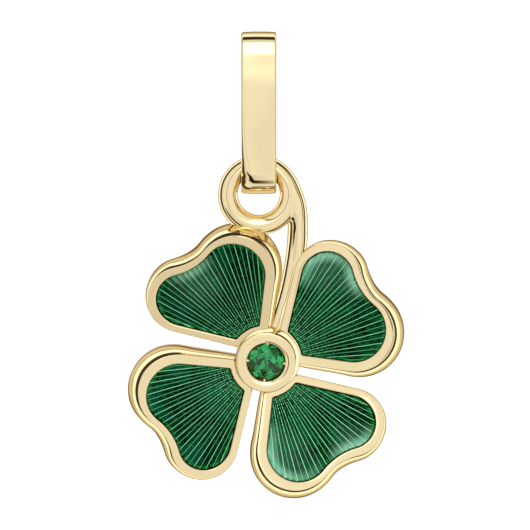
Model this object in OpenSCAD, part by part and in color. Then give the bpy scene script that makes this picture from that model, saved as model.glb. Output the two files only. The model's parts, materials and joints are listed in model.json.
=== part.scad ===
// Four-leaf clover charm on a loop bail, in millimetres.
// +Z is up, the front faces -Y and X runs side to side.
// The origin is the top of the bail's inside, where a chain bears.

/* [Bail] */
// Width of the bail's strip, side to side
bail_width = 1.9; // [1.6:0.05:1.9]
// Height of the bail's loop, over its outside
bail_height = 8.78; // [7:0.01:12]
// Depth of the bail's loop, front to back, over its outside
bail_depth = 2.9; // [2.7:0.05:3.4]
// Thickness of the bail's strip
strip_thickness = 0.62; // [0.5:0.01:0.62]
// Radius on the four long edges of the bail's strip
strip_edge = 0.16; // [0.12:0.01:0.25]

/* [Ring and stem] */
// Diameter of the wire that the ring and the stem are made of
wire_d = 1.1; // [1:0.05:1.15]
// Radius of the ring's centre line
ring_radius = 1.68; // [1.68:0.01:1.8]

/* [Bezel and stone] */
// Height from the ring's centre down to the middle of the clover
clover_drop = 9.06; // [8.9:0.01:9.2]
// How far the middle of the clover is to the right of the ring's centre
clover_side = 0.39; // [0.3:0.01:0.5]
// Outer radius of the bezel that holds the stone
bezel_radius = 1.66; // [1.6:0.01:1.8]
// Radius of the opening in the bezel's face
bezel_opening = 1.18; // [1.15:0.01:1.25]
// How far the bezel's face is in front of the ring's middle plane
bezel_front = 0.85; // [0.7:0.01:1]
// Diameter of the round stone
stone_d = 2; // [1.9:0.05:2]
// Number of small claws round the stone
claw_count = 4; // [3:1:8]

/* [Leaves] */
// Angle of the first leaf's middle line, anticlockwise from the right
leaf_turn = 36; // [33:0.1:38]
// How much each leaf is turned about its own middle line, like a blade
leaf_twist = 13; // [8:0.5:16]
// How much each leaf's tip is raised towards the front
leaf_lift = 5.5; // [0:0.5:7]
// How much larger the gold's radius is than the enamel's on the lobe turned to the back
rim_low = 0.43; // [0.4:0.01:0.48]
// How much larger the gold's radius is than the enamel's on the lobe turned to the front
rim_high = 0.68; // [0.64:0.01:0.76]
// Depth of the cell that holds the enamel
cell_depth = 0.5; // [0.4:0.05:0.6]
// How far the leaves' flat backs are behind the ring's middle plane
back_depth = 1.25; // [1.2:0.05:1.4]

/* [Clearances] */
// Gap between the enamel and the gold of its cell
enamel_gap = 0.02; // [0.01:0.005:0.04]
// Gap between the stone and its seat
stone_gap = 0.03; // [0.02:0.005:0.05]

/* [Hidden] */
$fn = 96;
gold = [0.90, 0.79, 0.50];
green = [0.08, 0.36, 0.21];
gem_green = [0.12, 0.55, 0.22];

// the bail's two legs are straight over this length, between its two bends
leg_length = bail_height - bail_depth;
bend_radius = (bail_depth - strip_thickness) / 2;
// the ring hangs so that its centre is level with the bail's underside
ring_height = strip_thickness - bail_height;
clover_height = ring_height - clover_drop;

// one leaf in its own plane: u runs out from the middle, v anticlockwise
lobe_a = [5.30, 1.75];
lobe_a_r = 1.48;
lobe_b = [4.94, -1.41];
lobe_b_r = 1.74;
notch_r = 3.6;
// both straight sides of the enamel run out from this point
enamel_apex = [0.98, -0.14];
// the gold's rim is widest between the lobes and along the side turned to the front
gold_lobe_a = [5.46, 1.91];
gold_lobe_b = [4.82, -1.20];
gold_notch_r = 2.7;
// the gold's straight sides run out from these points to lobes a and b
gold_apex_a = [0.46, 0.06];
gold_apex_b = [0.46, -0.34];
// the enamel starts this far from the middle
enamel_start = 1.96;
// the middle of the leaf's plane, in front of the ring's middle plane
leaf_front = 0.15;
// the enamel's top lies this far below the rim's face
enamel_sink = 0.02;
// longer than any leaf is thick
leaf_reach = 4;
// half the angle between the two straight sides of the enamel
side_angle = 42;
// farther than any part of the leaves reaches from the middle of the clover
past_leaves = 10;

// the round stone: table, crown, girdle and pavilion
stone_r = stone_d / 2;
table_r = 0.56 * stone_r;
crown_h = 0.30 * stone_r;
girdle_h = 0.06 * stone_r;
pavilion_h = 0.86 * stone_r;
// the stone's table lies this far behind the bezel's face
table_sink = 0.06;
// a claw is a small bead on the opening's wall, just in front of the girdle
claw_r = 0.13;
claw_turn = 85;
// how deep a claw's middle is inside the opening, and how far before the girdle
claw_inset = 0.05;
claw_lift = 0.14;
// the seat's cut starts this far in front of the bezel's face
cut_start = 2;

// the stem's centre line from the ring down behind the leaves to the bezel
STEM_RIGHT = 0;
STEM_BACK = 1;
STEM_UP = 2;
STEM_RADIUS = 3;
// columns: right of the ring's centre, behind its plane, above its centre, radius
stem_route = [
    [1.30, 0.00, 1.06, 0.36],
    [1.62, 0.03, 0.55, 0.48],
    [1.92, 0.10, -0.25, 0.54],
    [2.08, 0.24, -1.10, 0.55],
    [2.11, 0.45, -2.00, 0.55],
    [2.05, 0.70, -3.00, 0.55],
    [1.88, 0.88, -4.20, 0.55],
    [1.58, 0.90, -5.60, 0.55],
    [1.16, 0.80, -7.00, 0.55],
    [0.75, 0.70, -8.20, 0.50]
];
stem_steps = 3;
stem_sides = 24;

// where the line from p to the circle round c touches it; side is 1 for its left
function touch_point(p, c, r, side) =
    let (d = c - p, turn = atan2(d[1], d[0]) + side * asin(r / norm(d)))
    p + sqrt(d * d - r * r) * [cos(turn), sin(turn)];

// the point beyond the lobes that is ra from a and rb from b
function notch_middle(a, ra, b, rb) =
    let (d = b - a, l = norm(d),
         along = (l * l + ra * ra - rb * rb) / (2 * l),
         across = sqrt(ra * ra - along * along))
    a + d / l * along + [-d[1], d[0]] / l * across;

// a point of a smooth curve through p1 and p2, t from 0 to 1 between them
function smooth(p0, p1, p2, p3, t) =
    0.5 * (2 * p1 + (p2 - p0) * t + (2 * p0 - 5 * p1 + 4 * p2 - p3) * t * t
           + (3 * p1 - p0 - 3 * p2 + p3) * t * t * t);

function smooth_route(rows, steps) =
    let (last = len(rows) - 1)
    concat([for (i = [0 : last - 1], k = [0 : steps - 1])
                smooth(rows[max(i - 1, 0)], rows[i], rows[i + 1],
                       rows[min(i + 2, last)], k / steps)],
           [rows[last]]);

function place(row) = [row[STEM_RIGHT], row[STEM_BACK], row[STEM_UP]];

// a round tube along the rows of a route, closed at both ends
module tube(rows, sides) {
    count = len(rows);
    points = [for (i = [0 : count - 1])
        let (ahead = place(rows[min(i + 1, count - 1)]) - place(rows[max(i - 1, 0)]),
             side = cross(ahead, [0, 1, 0]),
             across = side / norm(side),
             up = cross(ahead, across),
             over = up / norm(up))
        for (k = [0 : sides - 1])
            place(rows[i]) + rows[i][STEM_RADIUS]
                * (across * cos(360 * k / sides) + over * sin(360 * k / sides))];
    walls = [for (i = [0 : count - 2], k = [0 : sides - 1])
        let (a = i * sides + k, b = i * sides + (k + 1) % sides)
        for (face = [[a, a + sides, b], [b, a + sides, b + sides]]) face];
    first_end = [for (k = [0 : sides - 1]) k];
    last_end = [for (k = [0 : sides - 1]) count * sides - 1 - k];
    polyhedron(points, concat(walls, [first_end], [last_end]));
}

module rounded_bar(w, h, r) {
    square([w - 2 * r, h], center = true);
    square([w, h - 2 * r], center = true);
    for (x = [-1, 1], y = [-1, 1])
        translate([x * (w / 2 - r), y * (h / 2 - r)]) circle(r);
}

// the heart outline of one leaf: lobes of radius ra and rb round a and b, a hollow of radius
// notch between them, and straight sides that run out from the two apexes
module leaf(apex_a, a, ra, apex_b, b, rb, notch) {
    middle = notch_middle(a, ra + notch, b, rb + notch);
    translate(a) circle(ra);
    translate(b) circle(rb);
    polygon([apex_b, touch_point(apex_b, b, rb, -1), b,
             a, touch_point(apex_a, a, ra, 1), apex_a]);
    difference() {
        polygon([a, b, middle]);
        translate(middle) circle(notch, $fn = 240);
    }
}

// the outline of the enamel, drawn in by a gap all round
module enamel_outline(gap) {
    apex = enamel_apex + [gap / sin(side_angle), 0];
    difference() {
        leaf(apex, lobe_a, lobe_a_r - gap, apex, lobe_b, lobe_b_r - gap, notch_r + gap);
        circle(enamel_start + gap);
    }
}

// puts a leaf, modelled flat with its face at z = 0, into its place
module at_leaf(index) {
    translate([clover_side, -leaf_front, clover_height])
        rotate([90, 0, 0])
        rotate([0, 0, leaf_turn + 90 * index])
        rotate([0, -leaf_lift, 0])
        rotate([-leaf_twist, 0, 0])
        children();
}

// places a shape drawn along z round the bezel's axis, with z = 0 at its face
module at_bezel() {
    translate([clover_side, -bezel_front, clover_height])
        rotate([-90, 0, 0])
        children();
}

module bend(height, start) {
    translate([0, 0, height])
        rotate([0, 90, 0])
        rotate([0, 0, start])
        rotate_extrude(angle = 180)
        translate([bend_radius, 0])
        rounded_bar(strip_thickness, bail_width, strip_edge);
}

module bail() {
    color(gold)
        translate([0, 0, strip_thickness - bail_height / 2]) {
            bend(leg_length / 2, 90);
            bend(-leg_length / 2, -90);
            for (side = [-1, 1])
                translate([0, side * bend_radius])
                    linear_extrude(leg_length, center = true)
                    rounded_bar(bail_width, strip_thickness, strip_edge);
        }
}

// the gold block of one leaf, cut off flat at the back
module leaf_block(index) {
    difference() {
        at_leaf(index)
            translate([0, 0, -leaf_reach])
            linear_extrude(leaf_reach)
            leaf(gold_apex_a, gold_lobe_a, lobe_a_r + rim_low,
                 gold_apex_b, gold_lobe_b, lobe_b_r + rim_high, gold_notch_r);
        translate([clover_side - past_leaves, back_depth, clover_height - past_leaves])
            cube([2 * past_leaves, leaf_reach, 2 * past_leaves]);
    }
}

module enamel_cell(index) {
    at_leaf(index)
        translate([0, 0, -cell_depth])
        linear_extrude(leaf_reach)
        enamel_outline(0);
}

// the opening in the bezel's face and the cone that the stone sits in
module stone_seat() {
    shelf = table_sink + crown_h + girdle_h + stone_gap;
    at_bezel()
        rotate_extrude()
        polygon([[0, -cut_start], [bezel_opening, -cut_start], [bezel_opening, shelf],
                 [stone_r + stone_gap, shelf],
                 [0, shelf + pavilion_h * (stone_r + stone_gap) / stone_r]]);
}

module claws() {
    at_bezel()
        for (k = [0 : claw_count - 1])
            rotate([0, 0, claw_turn + 360 * k / claw_count])
            translate([bezel_opening - claw_inset, 0, table_sink + crown_h - claw_lift])
            sphere(claw_r, $fn = 32);
}

module clover_body() {
    color(gold) {
        difference() {
            union() {
                for (index = [0 : 3]) leaf_block(index);
                at_bezel() cylinder(h = bezel_front + back_depth, r = bezel_radius);
                translate([0, 0, ring_height]) {
                    rotate([90, 0, 0])
                        rotate_extrude()
                        translate([ring_radius, 0])
                        circle(wire_d / 2);
                    tube(smooth_route(stem_route, stem_steps), stem_sides);
                }
            }
            for (index = [0 : 3]) enamel_cell(index);
            stone_seat();
        }
        claws();
    }
}

// one enamel fill: its cell's outline less the gap, level a little below the rim
module enamel(index) {
    color(green)
        at_leaf(index)
        translate([0, 0, enamel_gap - cell_depth])
        linear_extrude(cell_depth - enamel_gap - enamel_sink)
        enamel_outline(enamel_gap);
}

module enamel_top_right() {
    enamel(0);
}

module enamel_top_left() {
    enamel(1);
}

module enamel_bottom_left() {
    enamel(2);
}

module enamel_bottom_right() {
    enamel(3);
}

module stone() {
    girdle_top = table_sink + crown_h;
    girdle_bottom = girdle_top + girdle_h;
    color(gem_green)
        at_bezel()
        rotate_extrude()
        polygon([[0, table_sink], [table_r, table_sink],
                 [stone_r, girdle_top], [stone_r, girdle_bottom],
                 [0, girdle_bottom + pavilion_h]]);
}

bail();
clover_body();
enamel_top_left();
enamel_top_right();
enamel_bottom_left();
enamel_bottom_right();
stone();
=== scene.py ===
# %% [markdown]
# # A clover charm in gold and green enamel
# This lesson builds the looks of a small pendant round its finished mechanical model. The packed
# model says where the bail hangs, where the ring turns and where the stone sits. The pieces are
# worked out in millimetres, because a jeweller thinks in them, and each mesh is scaled to metres
# when it is made.

# %% Load the mechanical model
import json
import math

import bmesh
import bpy
import numpy as np
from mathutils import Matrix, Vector


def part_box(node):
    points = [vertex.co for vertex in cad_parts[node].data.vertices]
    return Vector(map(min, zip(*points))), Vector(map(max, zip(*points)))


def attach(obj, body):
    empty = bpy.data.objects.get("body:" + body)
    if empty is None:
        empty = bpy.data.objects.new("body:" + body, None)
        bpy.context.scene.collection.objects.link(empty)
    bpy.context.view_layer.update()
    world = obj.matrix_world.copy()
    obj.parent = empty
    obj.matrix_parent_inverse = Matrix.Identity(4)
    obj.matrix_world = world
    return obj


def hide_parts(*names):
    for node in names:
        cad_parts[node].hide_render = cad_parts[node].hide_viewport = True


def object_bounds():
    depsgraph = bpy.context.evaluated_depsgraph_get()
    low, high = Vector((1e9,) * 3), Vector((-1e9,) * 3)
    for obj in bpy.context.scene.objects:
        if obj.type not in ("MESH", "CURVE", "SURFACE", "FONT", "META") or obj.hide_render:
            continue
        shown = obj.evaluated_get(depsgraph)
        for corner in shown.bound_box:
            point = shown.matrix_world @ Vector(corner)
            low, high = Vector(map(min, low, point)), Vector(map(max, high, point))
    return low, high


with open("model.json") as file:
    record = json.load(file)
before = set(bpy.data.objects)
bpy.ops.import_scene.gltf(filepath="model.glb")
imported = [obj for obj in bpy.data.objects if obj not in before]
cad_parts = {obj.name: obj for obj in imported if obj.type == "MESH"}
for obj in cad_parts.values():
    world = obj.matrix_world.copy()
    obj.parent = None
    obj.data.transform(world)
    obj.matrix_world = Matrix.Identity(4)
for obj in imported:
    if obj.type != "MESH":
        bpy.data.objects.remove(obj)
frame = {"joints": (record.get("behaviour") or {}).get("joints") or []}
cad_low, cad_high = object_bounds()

MM = 0.001
scene = bpy.context.scene
size_mm = (cad_high - cad_low) / MM
print("the model measures", [round(s, 2) for s in size_mm], "mm")

# %% [markdown]
# ## Reading places off the model
# The ring turns about the hinge, the clover is centred on its stone, and the bail fills its own
# box. Reading them here keeps the looks and the mechanics together.

# %% Places in millimetres
ring_centre = np.array(frame["joints"][0]["pos_m"]) / MM
stone_low, stone_high = [np.array(c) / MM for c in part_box("stone")]
bail_low, bail_high = [np.array(c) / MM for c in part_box("bail")]
clover_x = round((stone_low[0] + stone_high[0]) / 2, 3)
clover_z = round((stone_low[2] + stone_high[2]) / 2, 3)
stone_r = round((stone_high[0] - stone_low[0]) / 2, 3)
table_y = round(stone_low[1], 3)
print("clover centre", clover_x, clover_z, "stone radius", stone_r)

# %% [markdown]
# ## The camera
# The charm is seen from straight ahead and a touch above, through a long lens, so that nothing
# looks stretched. The camera stands so that its view is as wide as a picture of 530 pixels, in
# which 18.5 pixels show one millimetre; the size of the picture is not set here.

# %% Camera
PICTURE = 530
PIXELS_PER_MM = 18.5
ELEVATION = math.radians(5)
aim = Vector((0.335, 0, -12.013)) * MM
lens, sensor = 400, 36
distance = PICTURE / PIXELS_PER_MM * MM * lens / sensor

camera = bpy.data.objects.new("camera", bpy.data.cameras.new("camera"))
scene.collection.objects.link(camera)
camera.data.lens = lens
camera.data.sensor_width = sensor
camera.data.clip_start = 0.01
camera.data.clip_end = 20
camera.location = aim + distance * Vector((0, -math.cos(ELEVATION), math.sin(ELEVATION)))
camera.rotation_euler = (math.pi / 2 - ELEVATION, 0, 0)
scene.camera = camera
print("the camera stands", round(distance, 3), "m away")

# %% [markdown]
# ## Helpers for meshes
# Nearly every piece here is a loft: a stack of closed loops with the same number of points, joined
# by quads, with a face over the first and the last loop. A loft is easy to keep closed, and its
# rows can be placed exactly where a polished edge turns.

# %% Mesh helpers
def make_piece(name, points, faces, body, slot, material):
    """A mesh object from points in millimetres, riding on a body of the model."""
    mesh = bpy.data.meshes.new(name)
    mesh.from_pydata((np.asarray(points) * MM).tolist(), [], faces)
    bm = bmesh.new()
    bm.from_mesh(mesh)
    bmesh.ops.recalc_face_normals(bm, faces=bm.faces)
    bm.to_mesh(mesh)
    bm.free()
    mesh.shade_smooth()
    piece = bpy.data.objects.new(name, mesh)
    scene.collection.objects.link(piece)
    piece.data.materials.append(material)
    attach(piece, body)
    print(f"{name}: {len(mesh.vertices)} points, {len(mesh.polygons)} faces")
    return piece


def loft(rows):
    """Points and faces of the closed shell through a stack of loops, capped at both ends."""
    count = len(rows[0])
    points = np.concatenate(rows)
    faces = [list(range(count))[::-1]]
    for i in range(len(rows) - 1):
        for k in range(count):
            a, b = i * count + k, i * count + (k + 1) % count
            faces.append([a, b, b + count, a + count])
    faces.append(list(range(len(points) - count, len(points))))
    return points, faces


def join_shells(shells):
    """Several shells as one list of points and faces."""
    points, faces = [], []
    for shell_points, shell_faces in shells:
        start = sum(len(p) for p in points)
        points.append(shell_points)
        faces += [[start + i for i in face] for face in shell_faces]
    return np.concatenate(points), faces


def swept(start, end, anticlockwise=True):
    """The end angle, moved by whole turns so that it lies ahead of the start."""
    full = 2 * math.pi
    return start + (end - start) % full if anticlockwise else start - (start - end) % full


def arc(centre, radius, start, end, count, outside=1):
    """Points of an arc and the directions that face out of the shape, without its last point."""
    angles = np.linspace(start, end, count, endpoint=False)
    out = np.stack([np.cos(angles), np.sin(angles)], 1)
    return np.array(centre) + radius * out, outside * out


def angle_of(v):
    return math.atan2(v[1], v[0])


# %% [markdown]
# ## Colours and nodes
# Colours are written as the hex values that a painter would pick from a screen, and one function
# turns them into the linear values that the renderer works with. One more function adds a node
# with its settings and its links. The scale of a pattern is its number of lumps in a metre, so it
# is given here as lumps in a millimetre, divided by MM.

# %% Colour and node helpers
MATHS, RAMP = "ShaderNodeMath", "ShaderNodeMapRange"
MIX, NOISE = "ShaderNodeMix", "ShaderNodeTexNoise"
SMOOTH = {"interpolation_type": "SMOOTHSTEP"}
COLOUR = {"data_type": "RGBA"}


def linear(hex_colour):
    """Linear red, green, blue and alpha of an sRGB hex colour."""
    parts = [int(hex_colour[i:i + 2], 16) / 255 for i in (1, 3, 5)]
    return [c / 12.92 if c <= 0.04045 else ((c + 0.055) / 1.055) ** 2.4 for c in parts] + [1]


def connect(tree, node, inputs):
    """Fills a node's inputs with values, with sockets, or with the first result of other nodes."""
    for key, value in inputs.items():
        if isinstance(value, bpy.types.Node):
            value = next(socket for socket in value.outputs if socket.enabled)
        if isinstance(value, bpy.types.NodeSocket):
            tree.links.new(value, node.inputs[key])
        else:
            node.inputs[key].default_value = value
    return node


def add(tree, kind, inputs=None, **settings):
    """A node of a kind, with its settings and its inputs."""
    node = tree.nodes.new(kind)
    for key, value in settings.items():
        setattr(node, key, value)
    return connect(tree, node, inputs or {})


def new_material(name):
    """An empty material with its node tree and a Principled shader on its output."""
    material = bpy.data.materials.new(name)
    material.use_nodes = True
    tree = material.node_tree
    tree.nodes.clear()
    shader = add(tree, "ShaderNodeBsdfPrincipled")
    add(tree, "ShaderNodeOutputMaterial", {"Surface": shader})
    return material, tree, shader


# %% [markdown]
# ## Polished yellow gold
# The metal is 18 carat gold, pale and warm, cast and then polished on a wheel. Polish gives a
# nearly mirror surface with a faint softness where the wheel has worn it less, so the roughness and
# the tone wander over about a millimetre. One even roughness would be simpler, but it looks like
# chrome paint. Two very shallow bumps, a fine one and a broad one, stop long reflections from
# being ruler straight.

# %% Gold
# polished metal: a clear mirror, whose reflections have slightly soft edges
gold, tree, shader = new_material("polished_18_carat_gold")
place = add(tree, "ShaderNodeTexCoord").outputs["Object"]
wander = add(tree, NOISE, {"Vector": place, "Scale": 0.9 / MM, "Detail": 3})
tone = add(tree, MIX, {"Factor": wander, "A": linear("#F7E6BC"), "B": linear("#F3DDA9")}, **COLOUR)
rough = add(tree, RAMP, {"Value": wander, "To Min": 0.04, "To Max": 0.11})
ripple = add(tree, NOISE, {"Vector": place, "Scale": 1.5 / MM})
bump = add(tree, "ShaderNodeBump", {"Height": ripple, "Strength": 0.02, "Distance": 0.02 * MM})
swell = add(tree, NOISE, {"Vector": place, "Scale": 0.6 / MM, "Detail": 0})
bump = add(tree, "ShaderNodeBump", {"Height": swell, "Distance": 0.04 * MM, "Normal": bump})
connect(tree, shader, {"Base Color": tone, "Roughness": rough, "Normal": bump, "Metallic": 1,
                       "Specular Tint": linear("#DCC69C")})
print(gold.name, "has", len(tree.nodes), "nodes")

# %% [markdown]
# ## The outline of a leaf
# Each leaf is a heart: two lobe circles, a hollow circle between them, and two straight sides that
# run to the middle of the flower. In the leaf's own plane u runs out from the middle and v lies
# across. A curve object could draw it, but worked out as arcs and lines it also tells exactly which
# way each point faces. The same function draws the edge of the enamel and the edge of the gold, and
# gives both the same number of points, so that rows can run between the two.

# %% Leaf outline
LOBE_A, LOBE_A_R = np.array([5.30, 1.75]), 1.48
LOBE_B, LOBE_B_R = np.array([4.94, -1.41]), 1.74
NOTCH_R = 3.6
ENAMEL_APEX = np.array([0.98, -0.14])
ENAMEL_START = 1.96
GOLD_A, GOLD_A_R = np.array([5.46, 1.91]), 1.91
GOLD_B, GOLD_B_R = np.array([4.82, -1.20]), 2.42
GOLD_NOTCH_R = 2.7
GOLD_APEX_A, GOLD_APEX_B = np.array([0.46, 0.06]), np.array([0.46, -0.34])
GOLD_START = 1.30
CORNER_R = 0.14


def touch_point(apex, centre, radius, side):
    """Where the line from the apex touches a lobe circle."""
    d = centre - apex
    length = np.linalg.norm(d)
    turn = angle_of(d) + side * math.asin(radius / length)
    return apex + math.sqrt(length ** 2 - radius ** 2) * np.array([math.cos(turn), math.sin(turn)])


def notch_middle(a, ra, b, rb):
    """The point beyond the lobes that is ra from a and rb from b."""
    d = b - a
    length = np.linalg.norm(d)
    along = (length ** 2 + ra ** 2 - rb ** 2) / (2 * length)
    across = math.sqrt(ra ** 2 - along ** 2)
    return a + d / length * along + np.array([-d[1], d[0]]) / length * across


def side_corner(apex, touch, lobe, start_radius, corner):
    """Centre of the small round between a straight side and the leaf's inner end."""
    facing = (touch - lobe) / np.linalg.norm(touch - lobe)
    run = (touch - apex) / np.linalg.norm(touch - apex)
    base = apex - facing * corner
    reach = -base @ run + math.sqrt((base @ run) ** 2 - base @ base + (start_radius + corner) ** 2)
    return base + reach * run, facing


def line(start, end, facing, count):
    share = np.linspace(0, 1, count, endpoint=False)[:, None]
    return start + share * (end - start), np.tile(facing, (count, 1))


def leaf_loop(apex_a, a, ra, apex_b, b, rb, notch, start_radius, corner=CORNER_R):
    """Points and outward directions of a leaf's outline, anticlockwise from its inner end."""
    middle = notch_middle(a, ra + notch, b, rb + notch)
    touch_a, touch_b = touch_point(apex_a, a, ra, 1), touch_point(apex_b, b, rb, -1)
    corner_a, facing_a = side_corner(apex_a, touch_a, a, start_radius, corner)
    corner_b, facing_b = side_corner(apex_b, touch_b, b, start_radius, corner)
    from_b, to_b = angle_of(facing_b), angle_of(middle - b)
    from_a, to_a = angle_of(middle - a), angle_of(facing_a)
    notch_b, notch_a = angle_of(b - middle), angle_of(a - middle)
    end_a, end_b = angle_of(corner_a), angle_of(corner_b)
    parts = [
        arc(corner_b, corner, angle_of(-corner_b), swept(angle_of(-corner_b), from_b), 8),
        line(corner_b + facing_b * corner, touch_b, facing_b, 26),
        arc(b, rb, from_b, swept(from_b, to_b), 52),
        arc(middle, notch, notch_b, swept(notch_b, notch_a, False), 22, -1),
        arc(a, ra, from_a, swept(from_a, to_a), 46),
        line(touch_a, corner_a + facing_a * corner, facing_a, 26),
        arc(corner_a, corner, to_a, swept(to_a, angle_of(-corner_a)), 8),
        arc((0, 0), start_radius, end_a, swept(end_a, end_b, False), 20, -1),
    ]
    return np.concatenate([p for p, _ in parts]), np.concatenate([n for _, n in parts])


enamel_loop, enamel_out = leaf_loop(ENAMEL_APEX, LOBE_A, LOBE_A_R, ENAMEL_APEX, LOBE_B, LOBE_B_R,
                                    NOTCH_R, ENAMEL_START)
gold_loop, gold_out = leaf_loop(GOLD_APEX_A, GOLD_A, GOLD_A_R, GOLD_APEX_B, GOLD_B, GOLD_B_R,
                                GOLD_NOTCH_R, GOLD_START)
print("a leaf's outline has", len(gold_loop), "points")

# %% [markdown]
# ## Where the leaves stand
# The four leaves are alike. Each is turned a quarter further round the middle, tipped about its own
# middle line like the blade of a propeller, and raised a little at its tip, so that every lobe
# catches the light differently. Turned objects would do the same, but here a piece keeps its place
# in its mesh, so a matrix takes the leaf's coordinates to the frame of the model.

# %% Leaf placement
LEAF_NAMES = ["top_right", "top_left", "bottom_left", "bottom_right"]
LEAF_TURN, LEAF_TWIST, LEAF_LIFT = 36, 13, 5.5
LEAF_FRONT = 0.15
BACK_Y = 1.25


def turn_x(degrees):
    c, s = math.cos(math.radians(degrees)), math.sin(math.radians(degrees))
    return np.array([[1, 0, 0], [0, c, -s], [0, s, c]])


def turn_y(degrees):
    c, s = math.cos(math.radians(degrees)), math.sin(math.radians(degrees))
    return np.array([[c, 0, s], [0, 1, 0], [-s, 0, c]])


def turn_z(degrees):
    c, s = math.cos(math.radians(degrees)), math.sin(math.radians(degrees))
    return np.array([[c, -s, 0], [s, c, 0], [0, 0, 1]])


def leaf_turned(index):
    upright = turn_x(90) @ turn_z(LEAF_TURN + 90 * index)
    return upright @ turn_y(-LEAF_LIFT) @ turn_x(-LEAF_TWIST)


def to_frame(points, index):
    """Points given in a leaf's own coordinates, in the frame of the model."""
    return points @ leaf_turned(index).T + np.array([clover_x, -LEAF_FRONT, clover_z])


def back_height(flat, index):
    """The height at which a line through a point of the leaf's plane meets the flat back."""
    across, along, up = leaf_turned(index)[1]
    return (BACK_Y + LEAF_FRONT - flat[:, 0] * across - flat[:, 1] * along) / up


# %% [markdown]
# ## The gold tray of a leaf
# A tray is cast with its cell for the enamel, then filed and polished. Its rim has a flat face,
# and beyond a soft edge the metal turns down in a slow curve to the side wall. The face is wide
# along the side that stands forward and narrow between the lobes, and the slow curve spreads the
# parallel light and dark lines round each leaf. A bevelled outline has the same edge all round, so
# the tray is a loft instead, and each of its rows follows the changing width. A tray doesn't show
# in the other gold, because a whole leaf mirrored in the next one would hide those lines.

# %% Leaf trays
CELL_DEPTH = 0.50
WALL_LEAST = 0.1
INNER_EDGE_R = 0.04
RIM_CROWN = 0.006
# the width of the face at shares of the way round, from the forward side to the low side
FACE_AT = [0, 0.16, 0.26, 0.32, 0.38, 0.43, 0.48, 0.54, 0.60, 0.72, 0.80, 1]
FACE_WIDTH = [0.44, 0.47, 0.51, 0.45, 0.34, 0.28, 0.31, 0.38, 0.42, 0.42, 0.32, 0.34]
SHOULDER_R, SHOULDER_TO = 0.03, 50
# each turn of the flank: the slope where it ends, and its share of the flank's width
FLANK_TURNS = [(64, 0.42), (81, 0.43), (89, 0.15)]
TURN_STEPS = 6
# 0 for walls square to the leaf, 1 for walls square to the flat back
UPRIGHT = 0.9
BACK_EDGE_R = 0.25
OUTLINE_END = 188


def level(points, height):
    return np.column_stack([points, np.broadcast_to(height, len(points))])


def smoothed(values, reach=6):
    """Values round the outline, averaged with their neighbours."""
    return sum(np.roll(values, k) for k in range(-reach, reach + 1)) / (2 * reach + 1)


def way_round(loop):
    """The share of the way round from the inner end, 1 from where the inner end begins again."""
    steps = np.linalg.norm(np.diff(loop[:OUTLINE_END], axis=0), axis=1)
    share = np.concatenate([[0], np.cumsum(steps)]) / steps.sum()
    return np.concatenate([share, np.ones(len(loop) - OUTLINE_END)])


back = back_height(gold_loop, 0)
toward_y = leaf_turned(0)[1]
lean = np.outer(back, toward_y[:2]) / abs(toward_y[2])
lean = UPRIGHT * smoothed(np.maximum((lean * gold_out).sum(1), 0))
face_width = smoothed(np.interp(way_round(enamel_loop), FACE_AT, FACE_WIDTH))
rim_width = ((gold_loop - enamel_loop) * gold_out).sum(1)
# the flank's fall for each millimetre of its width
fall = sum(width * math.tan(math.radians((start + end) / 2)) for start, (end, width)
           in zip([SHOULDER_TO] + [end for end, _ in FLANK_TURNS], FLANK_TURNS))
wall_out = lean * (1 + fall * (rim_width - face_width) / back) / (1 - fall * lean / back)
wall_loop = gold_loop + np.maximum(wall_out, 0)[:, None] * gold_out
rim_start = enamel_loop + INNER_EDGE_R * enamel_out
rim_end = enamel_loop + face_width[:, None] * enamel_out
across = ((wall_loop - rim_end) * gold_out).sum(1)
print("the flank is", round(across[:OUTLINE_END].min(), 2), "to",
      round(across[:OUTLINE_END].max(), 2), "mm wide")


def flank_rows():
    """Rows from the face's end to the top of the wall, by slope and share of the width."""
    shoulder = SHOULDER_R * math.sin(math.radians(SHOULDER_TO)) / across
    drop = np.full(len(across), SHOULDER_R * (1 - math.cos(math.radians(SHOULDER_TO))))
    share, slope, rows = shoulder, SHOULDER_TO, []
    for slope_end, width in FLANK_TURNS:
        step = width * (1 - shoulder) / TURN_STEPS
        for k in range(TURN_STEPS):
            turn = math.radians(slope + (slope_end - slope) * (k + 0.5) / TURN_STEPS)
            share = share + step
            drop = drop + step * across * math.tan(turn)
            rows.append((share, drop))
        slope = slope_end
    return rows


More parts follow.
